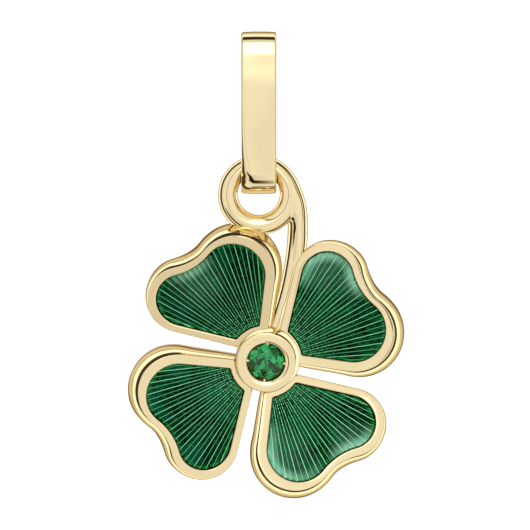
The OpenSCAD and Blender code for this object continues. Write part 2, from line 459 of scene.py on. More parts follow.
def tray_rows():
    rows = [level(enamel_loop, -CELL_DEPTH), level(enamel_loop, -INNER_EDGE_R)]
    for turn in np.linspace(0, math.pi / 2, 5)[1:]:
        out = INNER_EDGE_R * (1 - math.cos(turn))
        rows.append(level(enamel_loop + out * enamel_out, -INNER_EDGE_R * (1 - math.sin(turn))))
    for share in (0.06, 0.3, 0.5, 0.7, 0.94, 1.0):
        crown = RIM_CROWN * 4 * share * (1 - share)
        rows.append(level(rim_start + share * (rim_end - rim_start), crown))
    outwards = (wall_loop - rim_end) / across[:, None]
    for turn in np.linspace(0, math.radians(SHOULDER_TO), 5)[1:]:
        out = SHOULDER_R * math.sin(turn)
        rows.append(level(rim_end + out * outwards, -SHOULDER_R * (1 - math.cos(turn))))
    flank = flank_rows()
    room = np.minimum((-back - BACK_EDGE_R - WALL_LEAST) / flank[-1][1], 1)
    for share, drop in flank:
        edge = rim_end + share[:, None] * (wall_loop - rim_end)
        rows.append(level(edge, -drop * room))
    wall_top = rows[-1][:, 2]
    wall_end = back + BACK_EDGE_R
    for share in (0.1, 0.5, 0.95):
        edge = wall_loop + share * (gold_loop - wall_loop)
        rows.append(level(edge, wall_top + share * (wall_end - wall_top)))
    for turn in np.linspace(0, math.pi / 2, 7):
        edge = gold_loop - BACK_EDGE_R * (1 - math.cos(turn)) * gold_out
        rows.append(level(edge, back_height(edge, 0) + BACK_EDGE_R * (1 - math.sin(turn))))
    inset = gold_loop - (BACK_EDGE_R + 0.03) * gold_out
    rows.append(level(inset, back_height(inset, 0)))
    return rows


points, faces = loft(tray_rows())
for index, name in enumerate(LEAF_NAMES):
    tray = make_piece("tray_" + name, to_frame(points, index), faces, "clover", "gold", gold)
    tray.visible_glossy = False
    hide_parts("clover_body")

# %% [markdown]
# ## Shapes turned on a lathe
# The bezel is round, so it is turned: a profile of radius and depth spun about the line that runs
# front to back through the stone. A bevelled cylinder would come close, but a profile gives each
# edge its own radius, and its cone and seat come with it.

# %% Lathe
def lathe(profile, aside=(0, 0), segments=128):
    """Rows of circles for a profile of radius and y, about a line beside the one of the stone."""
    angles = np.linspace(0, 2 * math.pi, segments, endpoint=False)
    middle_x, middle_z = clover_x + aside[0], clover_z + aside[1]
    rows = []
    for radius, y in profile:
        rows.append(np.column_stack([middle_x + radius * np.cos(angles), np.full(segments, y),
                                     middle_z + radius * np.sin(angles)]))
    return loft(rows)


def rounded(profile, radii, steps=5):
    """A profile with some of its corners rounded to a given radius."""
    result = []
    for i, (corner, radius) in enumerate(zip(profile, radii)):
        if not radius:
            result.append(corner)
            continue
        p = np.array(corner)
        to_last = np.array(profile[i - 1]) - p
        to_next = np.array(profile[i + 1]) - p
        to_last, to_next = to_last / np.linalg.norm(to_last), to_next / np.linalg.norm(to_next)
        half = math.acos(np.clip(to_last @ to_next, -1, 1)) / 2
        bisector = (to_last + to_next) / np.linalg.norm(to_last + to_next)
        centre = p + bisector * radius / math.sin(half)
        start = p + to_last * radius / math.tan(half) - centre
        end = p + to_next * radius / math.tan(half) - centre
        span = math.pi - 2 * half
        for share in np.linspace(0, 1, steps):
            step = math.sin((1 - share) * span) * start + math.sin(share * span) * end
            result.append(tuple(centre + step / math.sin(span)))
    return result


# %% [markdown]
# ## The bezel
# The stone sits in a plain tube, which was turned flat in front. The face is 0.42 mm wide. Inside
# it a rounded bevel leads to a bright cut cone, which ends at the stone's edge.

# %% Bezel
BEZEL_R = 1.66
BEZEL_FACE_R = 1.60
OPENING_R = 1.18
BEZEL_FRONT = -0.85
CROWN_H = 0.30
GIRDLE_Y = table_y + CROWN_H * stone_r
SEAT_Y, SEAT_R = table_y + 1.32, 0.12
SHARP = math.radians(40)
bevel = [(OPENING_R - inwards, BEZEL_FRONT + deeper)
         for inwards, deeper in ((0.04, 0.012), (0.08, 0.030), (0.12, 0.055), (0.14, 0.075))]
profile = [(SEAT_R, BACK_Y), (BEZEL_R, BACK_Y), (BEZEL_R, -0.40), (BEZEL_FACE_R, BEZEL_FRONT),
           ((BEZEL_FACE_R + OPENING_R) / 2, BEZEL_FRONT - 0.004), (OPENING_R, BEZEL_FRONT), *bevel,
           (stone_r + 0.02, GIRDLE_Y - 0.05), (stone_r - 0.02, GIRDLE_Y + 0.06), (SEAT_R, SEAT_Y)]
radii = [0, 0.2, 0.3, 0.06, 0, 0, 0, 0, 0, 0, 0, 0.02, 0]
bezel = make_piece("bezel", *lathe(rounded(profile, radii)), "clover", "gold", gold)
bezel.data.set_sharp_from_angle(angle=SHARP)

# %% [markdown]
# The stem and the leaf on its right are soldered to the tube with more metal than the others, so a
# rounded collar stands out round the tube on that side. It is a second lathe shape, set a little
# aside from the first and lower than its face.

# %% Collar
COLLAR_ASIDE = (0.13, 0.11)
COLLAR_IN_R, COLLAR_FACE_R = 1.38, 1.42
COLLAR_FRONT, COLLAR_BACK = BEZEL_FRONT + 0.01, 0.95
# each turn of the collar's flank: its slopes where it starts and ends, and its width
COLLAR_TURNS = [(0, 42, 0.03), (42, 51, 0.04), (53, 64, 0.18), (64, 84, 0.05)]


def collar_profile(steps=6):
    """From the middle of the back forwards inside the tube, over the flank and back again."""
    radius, y = COLLAR_FACE_R, COLLAR_FRONT
    points = [(SEAT_R, COLLAR_BACK - 0.05), (COLLAR_IN_R, COLLAR_BACK - 0.05),
              (COLLAR_IN_R, COLLAR_FRONT), (radius, y)]
    for start, end, width in COLLAR_TURNS:
        for k in range(steps):
            radius += width / steps
            y += width / steps * math.tan(math.radians(start + (end - start) * (k + 0.5) / steps))
            points.append((radius, y))
    return points + [(radius, COLLAR_BACK), (SEAT_R, COLLAR_BACK)]


collar = make_piece("collar", *lathe(collar_profile(), COLLAR_ASIDE), "clover", "gold", gold)
collar.data.set_sharp_from_angle(angle=SHARP)

# %% [markdown]
# ## The claws
# Small beads of gold were raised from the cone and pushed onto the stone's edge. They repeat round
# the stone, so Geometry Nodes place them: points on a circle, a small bead on each, turned to face
# the stone. The tree takes the number of claws and both radii as named inputs.

# %% Claws
def group_input(tree, name, kind, value=None):
    """A named input of a node group."""
    socket = tree.interface.new_socket(name=name, in_out="INPUT", socket_type=kind)
    if value is not None:
        socket.default_value = value


def bake_modifier(piece):
    """Turns what the modifiers make into the piece's own plain mesh."""
    evaluated = piece.evaluated_get(bpy.context.evaluated_depsgraph_get())
    mesh = bpy.data.meshes.new_from_object(evaluated)
    piece.modifiers.clear()
    piece.data = mesh
    return piece


claw_tree = bpy.data.node_groups.new("claws_round_stone", "GeometryNodeTree")
group_input(claw_tree, "Claws", "NodeSocketInt", 4)
group_input(claw_tree, "Circle Radius", "NodeSocketFloat", 1.0)
group_input(claw_tree, "Bead Radius", "NodeSocketFloat", 0.1)
group_input(claw_tree, "Material", "NodeSocketMaterial")
claw_tree.interface.new_socket(name="Geometry", in_out="OUTPUT", socket_type="NodeSocketGeometry")
given = add(claw_tree, "NodeGroupInput").outputs
circle = add(claw_tree, "GeometryNodeMeshCircle", {"Vertices": given["Claws"],
                                                   "Radius": given["Circle Radius"]})
bead = add(claw_tree, "GeometryNodeMeshUVSphere", {"Segments": 20, "Rings": 12,
                                                   "Radius": given["Bead Radius"]})
where = add(claw_tree, "GeometryNodeInputPosition")
facing = add(claw_tree, "FunctionNodeAlignRotationToVector", {"Vector": where}, axis="X")
beads = add(claw_tree, "GeometryNodeInstanceOnPoints", {
    "Points": circle, "Instance": bead, "Rotation": facing, "Scale": (1.25, 0.8, 0.9)})
real = add(claw_tree, "GeometryNodeRealizeInstances", {"Geometry": beads})
smooth = add(claw_tree, "GeometryNodeSetShadeSmooth", {"Geometry": real})
coated = add(claw_tree, "GeometryNodeSetMaterial", {"Geometry": smooth,
                                                    "Material": given["Material"]})
add(claw_tree, "NodeGroupOutput", {"Geometry": coated})


def from_tree(name, tree, values):
    """A plain mesh object from a node tree and the values of its named inputs."""
    piece = bpy.data.objects.new(name, bpy.data.meshes.new(name))
    scene.collection.objects.link(piece)
    modifier = piece.modifiers.new("tree", "NODES")
    modifier.node_group = tree
    names = {s.name: s.identifier for s in tree.interface.items_tree if s.in_out == "INPUT"}
    for key, value in values.items():
        modifier[names[key]] = value
    return bake_modifier(piece)


CLAW_COUNT, CLAW_START = 4, 85
CLAW_CIRCLE_R, CLAW_R, CLAW_LIFT = 1.03, 0.13, 0.16
claws = from_tree("claws", claw_tree, {"Claws": CLAW_COUNT, "Circle Radius": CLAW_CIRCLE_R,
                                       "Bead Radius": CLAW_R, "Material": gold})
claw_points = np.array([v.co for v in claws.data.vertices]) @ turn_z(CLAW_START).T
claw_points = claw_points @ turn_x(90).T + [clover_x, GIRDLE_Y - CLAW_LIFT, clover_z]
claws.data.vertices.foreach_set("co", (claw_points * MM).ravel())
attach(claws, "clover")
print("claws:", CLAW_COUNT)

# %% [markdown]
# ## The ring and the stem
# The stem of the clover is a tapering wire. It was bent in a curve and soldered to the side of a
# round wire ring. A soldered joint has no crease, it has a soft fillet. A distance field gives
# exactly that: the distances to the ring and to the stem are blended where they come close, and a
# fine mesh is pulled onto the blended surface.

# %% Ring and stem as a distance field
RING_R_LOW, RING_R_TOP = 1.68, 1.62
WIRE_LOW, WIRE_TOP = 0.55, 0.485
SOLDER_FILLET = 0.13
VOXEL = 0.055
STEM_RIGHT, STEM_BACK, STEM_UP, STEM_RADIUS = range(4)
# right of the ring's centre, behind its plane, above its centre, radius
STEM_ROUTE = np.array([
    [1.30, 0.00, 1.06, 0.36], [1.62, 0.03, 0.55, 0.48], [1.92, 0.06, -0.25, 0.54],
    [2.08, 0.16, -1.10, 0.55], [2.11, 0.45, -2.00, 0.55], [2.05, 0.70, -3.00, 0.55],
    [1.88, 0.88, -4.20, 0.55], [1.58, 0.90, -5.60, 0.55], [1.16, 0.80, -7.00, 0.55],
    [0.75, 0.70, -8.20, 0.50]])


def smooth_route(rows, steps):
    """More rows along a smooth curve through the given ones."""
    padded = np.concatenate([rows[:1], rows, rows[-1:]])
    t = np.linspace(0, 1, steps, endpoint=False)[:, None]
    parts = []
    for i in range(len(rows) - 1):
        p0, p1, p2, p3 = padded[i:i + 4]
        parts.append(0.5 * (2 * p1 + (p2 - p0) * t + (2 * p0 - 5 * p1 + 4 * p2 - p3) * t ** 2
                            + (3 * p1 - p0 - 3 * p2 + p3) * t ** 3))
    return np.concatenate(parts + [rows[-1:]])


stem_line = smooth_route(STEM_ROUTE, 24)


def ring_distance(p):
    """Distance to the ring's surface. The wire is thinner at the top, where it has worn."""
    top = (1 + p[:, 2] / np.maximum(np.hypot(p[:, 0], p[:, 2]), 1e-6)) / 2
    top = top ** 2
    radius = RING_R_LOW + (RING_R_TOP - RING_R_LOW) * top
    wire = WIRE_LOW + (WIRE_TOP - WIRE_LOW) * top
    return np.hypot(np.hypot(p[:, 0], p[:, 2]) - radius, p[:, 1]) - wire


def stem_distance(p):
    """Distance to the tapering stem, from the nearest stretch of its middle line."""
    a, b = stem_line[:-1], stem_line[1:]
    run = (b - a)[:, :3]
    best = np.full(len(p), 1e9)
    for i in range(len(run)):
        off = p - a[i, :3]
        share = np.clip(off @ run[i] / (run[i] @ run[i]), 0, 1)
        gap = np.linalg.norm(off - share[:, None] * run[i], axis=1)
        gap -= a[i, STEM_RADIUS] + share * (b[i, STEM_RADIUS] - a[i, STEM_RADIUS])
        best = np.minimum(best, gap)
    return best


def blended(p):
    ring, stem = ring_distance(p), stem_distance(p)
    near = np.clip(0.5 + 0.5 * (stem - ring) / SOLDER_FILLET, 0, 1)
    return stem + (ring - stem) * near - SOLDER_FILLET * near * (1 - near)


def pull_onto(points, field, rounds=3):
    """Moves points along the field's slope until they lie on its zero surface."""
    step = 1e-3
    for _ in range(rounds):
        value = field(points)
        slope = np.stack([field(points + step * axis) - field(points - step * axis)
                          for axis in np.eye(3)], 1) / (2 * step)
        points = points - slope * (value / np.maximum((slope ** 2).sum(1), 1e-6))[:, None]
    return points


# %% [markdown]
# The starting mesh is a rough union of a torus and a tube, remeshed into small even squares. It
# is smoothed and pulled onto the field twice, which leaves even quads on an exact surface.

# %% Ring and stem mesh
def tube_shell(line_rows, radius, sides=24):
    """A rough round tube along rows of points, open to any direction but the y axis."""
    ahead = np.gradient(line_rows[:, :3], axis=0)
    side = np.cross(ahead, [0, 1, 0])
    side /= np.linalg.norm(side, axis=1)[:, None]
    up = np.cross(ahead, side)
    up /= np.linalg.norm(up, axis=1)[:, None]
    turn = np.linspace(0, 2 * math.pi, sides, endpoint=False)
    rows = [row[:3] + r * (np.outer(np.cos(turn), s) + np.outer(np.sin(turn), u))
            for row, r, s, u in zip(line_rows, radius, side, up)]
    return loft(rows)


def remeshed(points, faces, voxel):
    """Points and faces of an even quad mesh over a rough closed shape."""
    mesh = bpy.data.meshes.new("rough")
    mesh.from_pydata(points.tolist(), [], faces)
    rough = bpy.data.objects.new("rough", mesh)
    scene.collection.objects.link(rough)
    modifier = rough.modifiers.new("even", "REMESH")
    modifier.mode = "VOXEL"
    modifier.voxel_size = voxel
    bake_modifier(rough)
    points = np.array([v.co for v in rough.data.vertices])
    faces = [list(f.vertices) for f in rough.data.polygons]
    bpy.data.objects.remove(rough)
    return points, faces


def relaxed(points, faces, rounds):
    """Each point moved to the middle of its neighbours, a few times."""
    edges = np.array([(f[i], f[(i + 1) % len(f)]) for f in faces for i in range(len(f))])
    for _ in range(rounds):
        total = np.zeros_like(points)
        count = np.zeros(len(points))
        np.add.at(total, edges[:, 0], points[edges[:, 1]])
        np.add.at(count, edges[:, 0], 1)
        points = total / count[:, None]
    return points


turn = np.linspace(0, 2 * math.pi, 97)
ring_line = np.column_stack([RING_R_LOW * np.cos(turn), 0 * turn, RING_R_LOW * np.sin(turn)])
rough_ring = tube_shell(ring_line, np.full(97, WIRE_LOW))
rough_stem = tube_shell(stem_line, stem_line[:, STEM_RADIUS])
points, faces = remeshed(*join_shells([rough_ring, rough_stem]), VOXEL)
for _ in range(2):
    points = pull_onto(relaxed(points, faces, 3), blended)
ring = make_piece("ring_and_stem", points + ring_centre, faces, "clover", "gold", gold)

# %% [markdown]
# ## The bail
# The bail is one strip bent into a long loop, a little bowed along its legs. Its path is an oval of
# four arcs that touch: two long ones for the legs and two tight ones for the bends. The upper bend
# was pressed a little flat, so its radius grows at the two shoulders. A curve with a bevel profile
# is the quick way, but its section can't change on the way round, so this one is a loft too.

# %% Bail path
BAIL_WIDTH = bail_high[0] - bail_low[0]
BAIL_DEPTH = bail_high[1] - bail_low[1]
BAIL_HEIGHT = bail_high[2] - bail_low[2]
STRIP = bail_high[2]
LEG_R = 36
TOP_SQUARENESS = 0.07
bail_middle = (bail_high[2] + bail_low[2]) / 2
half_depth, half_height = (BAIL_DEPTH - STRIP) / 2, (BAIL_HEIGHT - STRIP) / 2
rise = half_height - half_depth
bend_up = rise * (2 * LEG_R - half_depth - half_height) / (2 * (LEG_R - half_height))
bend_r = half_height - bend_up
leg_turn = math.atan2(bend_up, LEG_R - half_depth)


def squared_bend(centre, start, end, squareness, count=72):
    """A bend that is flatter on top and tighter at its two shoulders than a round one."""
    turn = np.linspace(start, end, count, endpoint=False)
    rate = 2 * math.pi / (end - start)
    phase = (turn - start) * rate
    radius = bend_r * (1 + squareness * np.sin(phase) ** 2)
    growth = bend_r * squareness * np.sin(2 * phase) * rate
    out = np.stack([np.cos(turn), np.sin(turn)], 1)
    ahead = np.stack([-np.sin(turn), np.cos(turn)], 1)
    facing = radius[:, None] * out - growth[:, None] * ahead
    return centre + radius[:, None] * out, facing / np.linalg.norm(facing, axis=1)[:, None]


def bail_path():
    """Points of the strip's middle line in y and z, and the directions that face outwards."""
    upper, lower = np.array([0, bend_up]), np.array([0, -bend_up])
    right = np.array([half_depth - LEG_R, 0])
    parts = [
        arc(right, LEG_R, -leg_turn, leg_turn, 60),
        squared_bend(upper, leg_turn, math.pi - leg_turn, TOP_SQUARENESS),
        arc(-right, LEG_R, math.pi - leg_turn, math.pi + leg_turn, 60),
        squared_bend(lower, math.pi + leg_turn, 2 * math.pi - leg_turn, 0),
    ]
    return np.concatenate([p for p, _ in parts]), np.concatenate([n for _, n in parts])


# %% [markdown]
# The strip's section has a gently domed outer face, so light moves across it as it swings. Wear has
# rounded the front's left edge, hardly at the top and more and more towards the bottom, which shows
# as a long slanting line of light. The section at each place of the path therefore gets its own
# width of rounding, and its own slopes where that rounding starts and ends.

# %% Bail section
DOME, INNER_EDGE = 0.03, 0.12
EDGE_START, EDGE_END = 0.07, 0.09
# the left edge's rounding: its width on the legs, its growth, and the heights where it grows
WORN_LEG, WORN_GROWTH = 0.07, 0.85
WORN_FROM, WORN_TO = 0.6, -3.5
# the slopes where the rounding starts and ends: on the legs, where it starts to grow, in the bend
LEG_SLOPES, WORN_SLOPES, BEND_SLOPES = np.array([(40, 70), (20, 62), (8, 46)])


def worn_edge(worn, slopes, steps=8):
    """Steps in from the side and down from the face along a rounded edge, from face to side."""
    along, down = 0.0, 0.0
    points = [(0.0, 0.0)]
    turns = [(0, slopes[0], EDGE_START), (*slopes, worn), (slopes[1], 90, EDGE_END)]
    for start, end, length in turns:
        for k in range(steps):
            turn = math.radians(start + (end - start) * (k + 0.5) / steps)
            along += length / steps * math.cos(turn)
            down += length / steps * math.sin(turn)
            points.append((along, down))
    return [(along - a, d) for a, d in points]


def strip_section(worn, slopes):
    """The strip's outline: x across it and n outwards, with a domed face and a worn left edge."""
    half_width, half_thick = BAIL_WIDTH / 2, STRIP / 2
    left, right = worn_edge(worn, slopes), worn_edge(WORN_LEG, LEG_SLOPES)
    flat_left, flat_right = -half_width + left[0][0], half_width - right[0][0]
    xs = np.linspace(flat_right, flat_left, 25)[1:-1]
    dip = DOME * ((xs - (flat_left + flat_right) / 2) / half_width) ** 2
    edge = half_thick - DOME * ((flat_right - flat_left) / 2 / half_width) ** 2
    points = [(half_width - inwards, edge - down) for inwards, down in right[::-1]]
    points += list(zip(xs, half_thick - dip))
    points += [(-half_width + inwards, edge - down) for inwards, down in left]
    for side, start in ((-1, math.pi), (1, 1.5 * math.pi)):
        for turn in np.linspace(start, start + math.pi / 2, 6):
            points.append((side * (half_width - INNER_EDGE) + INNER_EDGE * math.cos(turn),
                           -half_thick + INNER_EDGE + INNER_EDGE * math.sin(turn)))
    return np.array(points)


# %% [markdown]
# The wear belongs to the front leg, grows downwards along it like the side of a circle, and fades
# out again where the strip turns under. Averaging it along the path keeps the light's line smooth.

# %% Bail
path, path_out = bail_path()
y, z = path[:, 0], path[:, 1]
front = np.clip(1 - np.maximum(y, 0) / half_depth, 0, 1)
down = np.clip((WORN_FROM - z) / (WORN_FROM - WORN_TO), 0, 1)
growth = 1 - np.sqrt(1 - down ** 2)
fading = np.clip((path_out[:, 1] + 1) / 0.6, 0, 1) ** 0.7
worn = WORN_LEG + smoothed(fading * front * growth) * WORN_GROWTH
slopes = WORN_SLOPES + growth[:, None] * (BEND_SLOPES - WORN_SLOPES)
share = smoothed(front * np.minimum(3 * down, 1))
slopes = LEG_SLOPES + share[:, None] * (slopes - LEG_SLOPES)
section = np.array([strip_section(w, pair) for w, pair in zip(worn, slopes)])
stations, ring_size = section.shape[:2]
yz = path[:, None, :] + section[:, :, 1, None] * path_out[:, None, :]
x = section[:, :, 0]
points = np.stack([x, yz[..., 0], yz[..., 1] + bail_middle], 2).reshape(-1, 3)
faces = [[i * ring_size + k, i * ring_size + (k + 1) % ring_size,
          (i + 1) % stations * ring_size + (k + 1) % ring_size, (i + 1) % stations * ring_size + k]
         for i in range(stations) for k in range(ring_size)]
bail = make_piece("bail_loop", points, faces, "bail", "gold", gold)
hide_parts("bail")

# %% [markdown]
# ## The engraved ground
# Under clear enamel the gold is engraved with rays that spread from the middle of the clover: a
# sunray guilloche. A bump could show them, but real ridges catch the light as the charm turns. The
# ground is a fine grid whose columns are such rays, cut off by the leaf's outline. Each column
# knows its place between two rays, and each point its distance from the wall.

# %% Ground grid
RAYS_PER_TURN = 69
COLUMNS_PER_RAY = 26
ROWS = 64


def polar(points):
    return np.arctan2(points[:, 1], points[:, 0]), np.hypot(points[:, 0], points[:, 1])


def wall_distance(flat, loop):
    """Distance of points in the leaf's plane from a closed outline."""
    a, b = loop, np.roll(loop, -1, axis=0)
    run = b - a
    best = np.full(len(flat), 1e9)
    for i in range(len(a)):
        off = flat - a[i]
        share = np.clip(off @ run[i] / max(run[i] @ run[i], 1e-12), 0, 1)
        best = np.minimum(best, np.linalg.norm(off - share[:, None] * run[i], axis=1))
    return best


def ground_grid(loop):
    """Flat points along rays from the middle, as rows and columns inside an outline."""
    angle, reach = polar(loop)
    first, last = np.argmin(angle), np.argmax(angle)
    far = np.arange(first, last + 1)
    near = np.arange(last, first + len(loop) + 1) % len(loop)
    ray = 2 * math.pi / RAYS_PER_TURN
    columns = int((angle[last] - angle[first]) / ray * COLUMNS_PER_RAY)
    turns = np.linspace(angle[first], angle[last], columns)
    reach_far = np.interp(turns, angle[far], reach[far])
    reach_near = np.interp(turns, angle[near][::-1], reach[near][::-1])
    share = np.linspace(0, 1, ROWS)[:, None]
    reaches = reach_near + share * (reach_far - reach_near)
    flat = np.stack([reaches * np.cos(turns), reaches * np.sin(turns)], 2).reshape(-1, 2)
    phase = np.broadcast_to(turns / ray, (ROWS, columns)).ravel()
    return flat, phase, columns


ground_flat, ground_phase, ground_columns = ground_grid(enamel_loop)
ground_gap = wall_distance(ground_flat, enamel_loop)
print("the ground's grid is", ROWS, "by", ground_columns)

# %% [markdown]
# Between two rays the graver leaves a shallow flute, so the rays stand as sharp ridges. At the wall
# the ground sweeps up like a dish, and painted glints of green light lie along that sweep. The
# sheet is closed below with a skirt and a bottom face, so it is a solid like every other piece.

# %% Ground heights and shell
GROUND = -0.24
FLUTE, PLEATS_PER_RAY, PLEAT = 0.05, 2, 0.62
SWEEP_UP, SWEEP_WIDTH = 0.12, 0.16
GROUND_BOTTOM = -0.45


def ray_spacing(reach):
    return 2 * math.pi * reach / RAYS_PER_TURN


def ground_shell():
    reach = np.hypot(ground_flat[:, 0], ground_flat[:, 1])
    pleat = ground_phase * PLEATS_PER_RAY % 1
    flute = -FLUTE * ray_spacing(reach) * np.where(pleat < PLEAT, pleat / PLEAT,
                                                   (1 - pleat) / (1 - PLEAT))
    near_wall = np.clip(1 - ground_gap / SWEEP_WIDTH, 0, 1)
    heights = GROUND + flute + SWEEP_UP * near_wall ** 2
    top = level(ground_flat, heights)
    grid = np.arange(len(top)).reshape(ROWS, ground_columns)
    faces = np.stack([grid[:-1, :-1], grid[:-1, 1:], grid[1:, 1:], grid[1:, :-1]], 2)
    border = np.concatenate([grid[0], grid[1:, -1], grid[-1, -2::-1], grid[-2:0:-1, 0]])
    skirt = level(ground_flat[border], GROUND_BOTTOM)
    below = len(top) + np.arange(len(border))
    walls = np.stack([border, np.roll(border, -1), np.roll(below, -1), below], 1)
    faces = faces.reshape(-1, 4).tolist() + walls.tolist() + [below.tolist()]
    return np.concatenate([top, skirt]), faces


ground_points, ground_faces = ground_shell()

# %% [markdown]
# ## The colour of the ground
# Translucent green enamel over engraved gold is a deep green. Here the ground is darker towards the
# middle of the clover, which is painted shade, and light on its ridges, which are painted
# highlights. The metal's reflection is tinted by the enamel, so the ground is a green metal with a
# moderate roughness. Its colours follow two UV maps: where a point lies across and along the rays,
# and how far it is from the wall and how strong the painted sheen is there.

# %% Ground material and patterns along the rays
# metal under coloured glass: deep green, with painted highlights on every ridge
ground_material, tree, shader = new_material("sunray_engraved_ground_under_green_enamel")
place = add(tree, "ShaderNodeTexCoord").outputs["Object"]
rays = add(tree, "ShaderNodeSeparateXYZ", {0: add(tree, "ShaderNodeUVMap", uv_map="rays")})
wall = add(tree, "ShaderNodeSeparateXYZ", {0: add(tree, "ShaderNodeUVMap", uv_map="edge")})
phase, reach = rays.outputs["X"], rays.outputs["Y"]
# the second UV map holds the distance from the wall and the strength of the painted sheen
edge, sheen_spots = wall.outputs["X"], wall.outputs["Y"]
spacing = add(tree, MATHS, {0: reach, 1: 2 * math.pi / RAYS_PER_TURN}, operation="MULTIPLY")


def ray_lines(phase, width, strength):
    """Lines of a width in millimetres where the phase is whole, and 0 between them."""
    off = add(tree, MATHS, {0: phase, 1: 0.5}, operation="PINGPONG")
    off = add(tree, MATHS, {0: off, 1: spacing}, operation="MULTIPLY")
    return add(tree, RAMP, {"Value": off, "From Min": width * 0.8, "From Max": width * 0.25,
                            "To Max": strength}, **SMOOTH)


def streaks(across, length, seed):
    """A noise drawn out along the rays: its lumps across a ray, and their length in millimetres."""
    lump = add(tree, MATHS, {0: phase, 1: across}, operation="MULTIPLY")
    run = add(tree, MATHS, {0: reach, 1: length}, operation="DIVIDE")
    where = add(tree, "ShaderNodeCombineXYZ", {0: lump, 1: run, 2: seed})
    return add(tree, NOISE, {"Vector": where, "Scale": 1, "Detail": 1})


# %% [markdown]
# Each light or dark thing on the ground has a weight, which says where it shows and how strongly.
# A weight rises smoothly while the value that it follows goes from its start to its end. The ridges
# show as thin mint lines of painted highlight, with fainter ones halfway between them. Both break
# up into dots near the middle, which are the graver's small steps. Dark and light streaks run along
# the rays, the middle is darker with painted shade, the leaves on the left are a little bluer, and
# painted green glints lie along the sweep at the wall. A few spots near the wall hold a painted
# sheen, and a dark line of painted shade runs where the enamel meets the wall.

# %% Weights of the ground's colours
RAY_WIDTH, FAINT_WIDTH, FAINT_STRENGTH = 0.031, 0.028, 0.65
STREAKS_PER_RAY = 5
DARK_STREAK, LIGHT_STREAK, GLINT_STREAK, DOT = 1.2, 0.30, 0.4, 0.09
PATCH = 1.5

clouds = add(tree, NOISE, {"Vector": place, "Scale": 1 / (PATCH * MM), "Detail": 2})
across = add(tree, "ShaderNodeSeparateXYZ", {0: place}).outputs["X"]
# each weight: the value that it follows, its start and its end, and how strong it is at both
RAMPS = {
    # painted shade: the ground is darker towards the middle of the clover
    "outward": (reach, 2.2, 5.2, 0, 1),
    "bluish": (across, 0, -5 * MM, 0, 0.7),
    "patches": (clouds, 0.38, 0.60, 0, 1),
    "dark": (streaks(STREAKS_PER_RAY, DARK_STREAK, 0), 0.48, 0.60, 0, 0.75),
    "light": (streaks(2 * STREAKS_PER_RAY, LIGHT_STREAK, 7), 0.52, 0.66, 0, 0.5),
    "dots": (streaks(1, DOT, 3), 0.40, 0.55, 0, 1),
    # painted sheen: strongest near the wall, where the spots of the second UV map lie
    "near_wall": (edge, 0.75, 0, 0.1, 1),
    # painted glints of green light along the wall
    "glint_band": (edge, 0.34, 0.08, 0, 1),
    "glints": (streaks(STREAKS_PER_RAY, GLINT_STREAK, 11), 0.46, 0.56, 0, 0.7),
    # painted shade: a dark line where the enamel meets the wall
    "outline": (edge, 0.09, 0.045, 0, 1),
}
weights = {name: add(tree, RAMP, {"Value": value, "From Min": start, "From Max": end,
                                  "To Min": weak, "To Max": strong}, **SMOOTH)
           for name, (value, start, end, weak, strong) in RAMPS.items()}
half_phase = add(tree, MATHS, {0: phase, 1: 0.5}, operation="ADD")
weights["lines"] = add(tree, MATHS, {0: weights["dots"], 1: weights["outward"]},
                       operation="MAXIMUM")
PRODUCTS = {
    # painted sheen, only in its spots
    "painted_sheen": (weights["near_wall"], sheen_spots),
    # painted highlights on the ridges, faint and bright
    "faint": (ray_lines(half_phase, FAINT_WIDTH, FAINT_STRENGTH), weights["lines"]),
    "bright": (ray_lines(phase, RAY_WIDTH, 1), weights["lines"]),
    # painted glints, only near the wall
    "glints": (weights["glint_band"], weights["glints"]),
}
for name, (first, second) in PRODUCTS.items():
    weights[name] = add(tree, MATHS, {0: first, 1: second}, operation="MULTIPLY")
print("the ground has", len(weights), "weights")

# %% [markdown]
# The colours are laid over each other in this order, like washes of paint: first the painted shade
# towards the middle, then streaks and the painted sheen, then the lines of the rays and the glints,
# which are painted highlights, and last the dark line of painted shade where the enamel meets the
# wall.

# %% Washes of the ground's colour
# among these washes the first and the last are painted shade, and the sheen, the ray lines and the
# glints are painted light
WASHES = [("#0A4A28", "outward"), ("#0A4C40", "bluish"), ("#01180A", "patches"),
          ("#010F06", "dark"), ("#1C8840", "light"), ("#AEE4C8", "painted_sheen"), ("#84E8AC", "faint"),
          ("#A6FFC8", "bright"), ("#2FA04A", "glints"), ("#020B06", "outline")]
colour = linear("#06401A")
for wash, name in WASHES:
    colour = add(tree, MIX, {"Factor": weights[name], "A": colour, "B": linear(wash)}, **COLOUR)
connect(tree, shader, {"Base Color": colour, "Metallic": 1, "Roughness": 0.34})
print(ground_material.name, "has", len(tree.nodes), "nodes")

# %% [markdown]
# The sheets of the four leaves are alike, but each has its own spots of painted sheen, so the UV
# maps are written leaf by leaf. They go on before the doubled points at the wall are merged,
# because each point's values are known by its place in the grid. Like the trays, the sheets don't
# show in the other gold.

# %% Grounds
# spots of painted sheen: leaf, u, v and radius
SHEEN_SPOTS = [(0, 5.6, 2.6, 1.3), (0, 6.4, 1.0, 0.9), (1, 5.7, 0.5, 1.2), (3, 5.0, -3.0, 1.9),
         (3, 6.5, 1.2, 1.1)]


def merge_points(mesh, distance=2e-7):
    """Merges points that lie on each other, and turns all faces outwards."""
    bm = bmesh.new()
    bm.from_mesh(mesh)
    bmesh.ops.remove_doubles(bm, verts=bm.verts, dist=distance)
    bmesh.ops.recalc_face_normals(bm, faces=bm.faces)
    bm.to_mesh(mesh)
    bm.free()


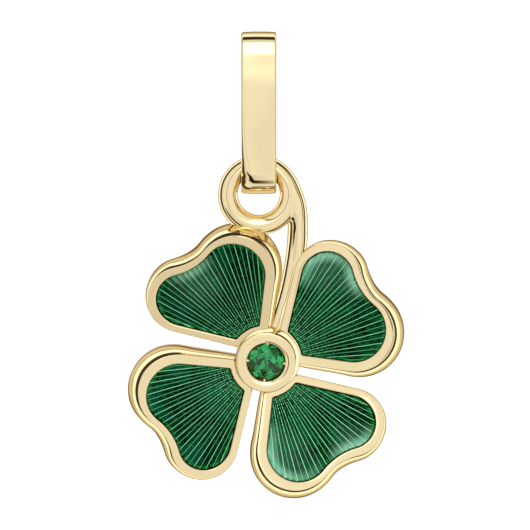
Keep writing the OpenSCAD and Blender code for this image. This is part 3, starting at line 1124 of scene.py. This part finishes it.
ground_reach = np.hypot(ground_points[:, 0], ground_points[:, 1])
grid_count = ROWS * ground_columns
skirt_count = len(ground_points) - grid_count
ray_place = np.concatenate([ground_phase, np.zeros(skirt_count)])
edge_place = np.concatenate([ground_gap, np.zeros(skirt_count)])


def sheen_share(index):
    """How strong the painted sheen is over each point of a leaf's ground."""
    share = np.zeros(len(ground_points))
    for leaf, u, v, radius in SHEEN_SPOTS:
        if leaf == index:
            off = np.hypot(ground_points[:, 0] - u, ground_points[:, 1] - v) / radius
            share = np.maximum(share, np.clip(1.4 - off, 0, 1))
    return share


for index, name in enumerate(LEAF_NAMES):
    ground = make_piece("ground_" + name, to_frame(ground_points, index), ground_faces,
                        "clover", "green_enamel", ground_material)
    ground.visible_glossy = False
    corners = np.array([loop.vertex_index for loop in ground.data.loops])
    # the second map carries the strength of the painted sheen
    for map_name, across, along in (("rays", ray_place, ground_reach),
                                    ("edge", edge_place, sheen_share(index))):
        layer = ground.data.uv_layers.new(name=map_name)
        layer.data.foreach_set("uv", np.stack([across[corners], along[corners]], 1).ravel())
    merge_points(ground.data)
    ground.data.set_sharp_from_angle(angle=math.radians(50))
    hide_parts("enamel_" + name)

# %% [markdown]
# ## The clear enamel
# The enamel is glass, melted into the cell and ground to a low dome, so its edge curves down to the
# gold and catches a line of light. A clear coat on the ground would give gloss but no dome, so the
# glass is a shell of its own. Its rows follow the outline and shrink towards one point, and its
# height grows with the distance from the wall. Real glass bends light more, with an IOR of 1.5.
# This shell stands for the surface only, so 1.2 and a green tint keep its mirror weak.

# %% Clear enamel
DOME_CENTRE = np.array([3.9, 0.0])
DOME_RISE, DOME_RUN = 0.07, 0.35
GLASS_EDGE = -0.045
GLASS_BOTTOM = -0.30
GLASS_OVERLAP = 0.012

# fired glass: clear and glossy, with the faint waves of a surface that was molten
clear, tree, shader = new_material("clear_green_fired_enamel")
place = add(tree, "ShaderNodeTexCoord").outputs["Object"]
waves = add(tree, NOISE, {"Vector": place, "Scale": 0.7 / MM})
bump = add(tree, "ShaderNodeBump", {"Height": waves, "Strength": 0.05, "Distance": 0.02 * MM})
connect(tree, shader, {"Base Color": linear("#D8F5E4"), "Normal": bump, "Roughness": 0.03,
                       "IOR": 1.2, "Specular Tint": linear("#78A888"), "Transmission Weight": 1})


def dome_rows():
    edge = enamel_loop + GLASS_OVERLAP * enamel_out
    rows = [level(edge, GLASS_BOTTOM), level(edge, GLASS_EDGE)]
    for share in (0.985, 0.96, 0.93, 0.89, 0.84, 0.78, 0.7, 0.6, 0.5, 0.38, 0.26, 0.14, 0.05):
        flat = DOME_CENTRE + share * (edge - DOME_CENTRE)
        gap = wall_distance(flat, edge)
        rows.append(level(flat, GLASS_EDGE + DOME_RISE * (1 - np.exp(-gap / DOME_RUN))))
    return rows


points, faces = loft(dome_rows())
for index, name in enumerate(LEAF_NAMES):
    glass = make_piece("enamel_glass_" + name, to_frame(points, index), faces, "clover",
                       "green_enamel", clear)
    glass.visible_glossy = False
    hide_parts("enamel_" + name)

# %% [markdown]
# ## The stone
# The stone is a round brilliant with a full crown and eight plain facets below the girdle. Its
# facets follow from a few proportions, and each kite facet has to be flat, which fixes the heights
# of the points between. The facets are the hull of those points, so no face has to be listed.

# %% Stone
TABLE_R, STAR_R = 0.56, 0.77
GIRDLE_H, PAVILION_H = 0.06, 0.86
STONE_TURN = 8

# polished garnet: perfectly smooth, it bends light strongly and flashes in small blocks
stone_material, tree, shader = new_material("polished_green_garnet")
place = add(tree, "ShaderNodeTexCoord").outputs["Object"]
cloud = add(tree, NOISE, {"Vector": place, "Scale": 1.2 / MM})
tone = add(tree, MIX, {"Factor": cloud, "A": linear("#0E8240"), "B": linear("#1C9650")}, **COLOUR)
connect(tree, shader, {"Base Color": tone, "Roughness": 0, "IOR": 1.74,
                       "Specular Tint": linear("#C8D8CC"), "Transmission Weight": 1})


def stone_point(degrees, radius, depth):
    """A point of the stone at a turn, a share of its radius and a depth below the table."""
    turn = math.radians(degrees + STONE_TURN)
    return Vector((clover_x + stone_r * radius * math.cos(turn), table_y + stone_r * depth,
                   clover_z + stone_r * radius * math.sin(turn))) * MM


def brilliant_points():
    half = math.cos(math.radians(22.5))
    star = CROWN_H * (STAR_R * half - TABLE_R) / (1 - TABLE_R)
    belt = CROWN_H + GIRDLE_H
    corner = belt + PAVILION_H * (1 - half)
    points = [stone_point(0, 0, belt + PAVILION_H)]
    for k in range(8):
        points += [stone_point(45 * k, TABLE_R, 0), stone_point(45 * k + 22.5, STAR_R, star)]
    for k in range(16):
        points.append(stone_point(22.5 * k, 1, CROWN_H))
        points.append(stone_point(22.5 * k, 1, corner if k % 2 else belt))
    return points


bm = bmesh.new()
for point in brilliant_points():
    bm.verts.new(point)
bmesh.ops.convex_hull(bm, input=bm.verts)
bmesh.ops.dissolve_limit(bm, angle_limit=math.radians(0.5), verts=bm.verts, edges=bm.edges)
bmesh.ops.recalc_face_normals(bm, faces=bm.faces)
mesh = bpy.data.meshes.new("brilliant")
bm.to_mesh(mesh)
bm.free()
brilliant = bpy.data.objects.new("brilliant", mesh)
scene.collection.objects.link(brilliant)
mesh.materials.append(stone_material)
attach(brilliant, "clover")
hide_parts("stone")
print("the stone has", len(mesh.polygons), "facets")

# %% [markdown]
# ## Floor
# The charm hangs over a wide pale table. It is matt, with the faint mottle of card, and it isn't
# part of the object. Polished gold would mirror its far edge as a line, so it is left out of
# reflections.

# %% Floor
FLOOR_DROP, FLOOR_HALF = 50, 3000

# pressed paper: white and dull, with no highlight
card, tree, shader = new_material("white_card")
place = add(tree, "ShaderNodeTexCoord").outputs["Object"]
mottle = add(tree, NOISE, {"Vector": place, "Scale": 0.04 / MM})
tone = add(tree, MIX, {"Factor": mottle, "A": linear("#FFFFFF"), "B": linear("#FDFDFC")}, **COLOUR)
connect(tree, shader, {"Base Color": tone, "Roughness": 0.9})
floor_z = cad_low.z / MM - FLOOR_DROP
corners = [(x * FLOOR_HALF, y * FLOOR_HALF, floor_z)
           for x, y in ((-1, -1), (1, -1), (1, 1), (-1, 1))]
mesh = bpy.data.meshes.new("floor")
mesh.from_pydata((np.array(corners) * MM).tolist(), [], [(0, 1, 2, 3)])
floor = bpy.data.objects.new("floor", mesh)
scene.collection.objects.link(floor)
mesh.materials.append(card)
floor.visible_glossy = False
floor.visible_transmission = False

# %% [markdown]
# ## The light tent
# Small polished jewellery is photographed inside a white tent. Nearly everything it mirrors is
# white, and the gaps of the tent draw the thin dark lines that give polished gold its shape.
# Lamps could light it, but each would show as a shape of its own in the gold. So the tent is a
# world whose brightness depends on the direction. Most of it is made of bands round the line that
# runs from the charm to the camera. Each band is placed by its angle from that line, and some show
# only towards one side, given as an angle that starts on the right and turns anticlockwise, as the
# camera sees it.

# %% Directions in the tent
FAR = 1000

world = bpy.data.worlds.new("white_tent")
scene.world = world
world.use_nodes = True
tree = world.node_tree
tree.nodes.clear()
direction = add(tree, "ShaderNodeTexCoord").outputs["Generated"]
part = add(tree, "ShaderNodeSeparateXYZ", {0: direction})
sideways, upwards = part.outputs["X"], part.outputs["Z"]
ahead = add(tree, MATHS, {0: part.outputs["Y"], 1: -1}, operation="MULTIPLY")
off_axis = add(tree, MATHS, {0: add(tree, MATHS, {0: ahead}, operation="ARCCOSINE")},
               operation="DEGREES")
# the distance from the axis, with a little added so that it is never 0
from_axis = add(tree, MATHS, {0: ahead, 1: ahead}, operation="MULTIPLY")
from_axis = add(tree, MATHS, {0: 1.0001, 1: from_axis}, operation="SUBTRACT")
from_axis = add(tree, MATHS, {0: from_axis}, operation="SQRT")


def between(value, rise=(-2 * FAR, -FAR), fall=(FAR, 2 * FAR)):
    """1 where a value has risen and not yet fallen. Both changes run from one value to another."""
    low = add(tree, RAMP, {"Value": value, "From Min": rise[0], "From Max": rise[1]}, **SMOOTH)
    high = add(tree, RAMP, {"Value": value, "From Min": fall[1], "From Max": fall[0]}, **SMOOTH)
    return add(tree, MATHS, {0: low, 1: high}, operation="MULTIPLY")


def band(low, high, soft):
    """1 between two angles off the axis, with soft edges."""
    return between(off_axis, (low - soft, low), (high, high + soft))


def side_of(degrees, narrow, wide):
    """1 towards a direction round the axis, as seen from the camera, and 0 away from it."""
    turn = math.radians(degrees)
    across = add(tree, MATHS, {0: sideways, 1: math.cos(turn)}, operation="MULTIPLY")
    dot = add(tree, MATHS, {0: upwards, 1: math.sin(turn), 2: across}, operation="MULTIPLY_ADD")
    near = add(tree, MATHS, {0: dot, 1: from_axis}, operation="DIVIDE")
    return between(near, (math.cos(math.radians(wide)), math.cos(math.radians(narrow))))


# %% [markdown]
# The tent's cloth is white with faint folds. Each further part has a brightness and one or more
# weights, and is laid over the ones before it. The widest dark gap is overhead and on the left. A
# bright softbox stands above the camera, and a dark card lies low in front.

# %% Parts of the tent
DARK = 0.02
folds = add(tree, NOISE, {"Vector": direction, "Scale": 3.2, "Detail": 1})
glow = add(tree, RAMP, {"Value": folds, "From Min": 0.36, "From Max": 0.62, "To Min": 0.93},
           **SMOOTH)
# each part: its brightness, and the weights that place it
PARTS = {
    "tan hem": (0.84, band(61, 72, 3)),
    "bright back cloth": (1.45, band(104, 130, 3)),
    "seam": (0.35, band(132, 135, 2), side_of(125, 80, 100)),
    "rear cloth": (0.92, between(off_axis, (135, 138))),
    "shaded ring behind": (0.30, band(160, 166, 12)),
    "softbox": (2.1, between(upwards, (0.05, 0.19), (0.80, 0.88)),
                between(sideways, (-0.22, -0.13), (0.13, 0.22)), between(ahead, (0, 0.1))),
    "low shade": (0.80, band(27, 42, 6), side_of(-117, 15, 35)),
    "wide gap": (DARK, band(78, 103, 3), side_of(125, 75, 100)),
    "gap all round": (0.06, band(86, 102, 3)),
    "shade on the right": (0.30, band(66, 74, 4), side_of(20, 25, 60)),
    "card": (DARK, band(51, 66, 3), side_of(-95, 45, 65), between(sideways, fall=(-0.08, 0.12))),
    "post": (0.16, between(sideways, (-0.305, -0.275), (-0.225, -0.195)),
             between(upwards, (-0.30, -0.20)), between(ahead, (0.5, 0.6))),
}
for brightness, weight, *others in PARTS.values():
    for other in others:
        weight = add(tree, MATHS, {0: weight, 1: other}, operation="MULTIPLY")
    glow = add(tree, MIX, {"Factor": weight, "A": glow, "B": brightness})
print("the tent has", len(PARTS), "parts")

# %% [markdown]
# Light that has passed through the stone or the enamel would find mostly white cloth, and both
# would look flat. Those rays see three ribs of the tent instead, so facets and ridges flash light
# and dark. Dimmer parts are warmer, and the camera and the matt floor see plain white in place of
# the tent.

# %% Ribs, warmth and the world's output
RIBS, RIB_TURN = 3, 1

clock = add(tree, MATHS, {0: upwards, 1: sideways}, operation="ARCTAN2")
ribs = add(tree, MATHS, {0: clock, 1: RIBS, 2: RIB_TURN}, operation="MULTIPLY_ADD")
ribs = add(tree, MATHS, {0: ribs}, operation="SINE")
ribs = add(tree, RAMP, {"Value": ribs, "From Min": -0.5, "From Max": 1, "To Min": 0.18,
                        "To Max": 1.68}, **SMOOTH)
ray = add(tree, "ShaderNodeLightPath").outputs
glow = add(tree, MIX, {"Factor": ray["Is Transmission Ray"], "A": glow, "B": ribs})
cool = add(tree, RAMP, {"Value": glow, "From Min": 0.5, "From Max": 0.9}, **SMOOTH)
warmth = add(tree, MIX, {"Factor": cool, "A": linear("#FBE6BE"), "B": linear("#FFFFFF")}, **COLOUR)
tent = add(tree, "ShaderNodeBackground", {"Color": warmth, "Strength": glow})
plain = add(tree, "ShaderNodeBackground", {"Color": linear("#FFFFFF"), "Strength": 1.15})
seen = add(tree, MATHS, {0: ray["Is Camera Ray"], 1: ray["Is Diffuse Ray"]}, operation="MAXIMUM")
mixed = add(tree, "ShaderNodeMixShader", {0: seen, 1: tent, 2: plain})
add(tree, "ShaderNodeOutputWorld", {"Surface": mixed})
scene.view_settings.view_transform = "Standard"
print("the world has", len(tree.nodes), "nodes")
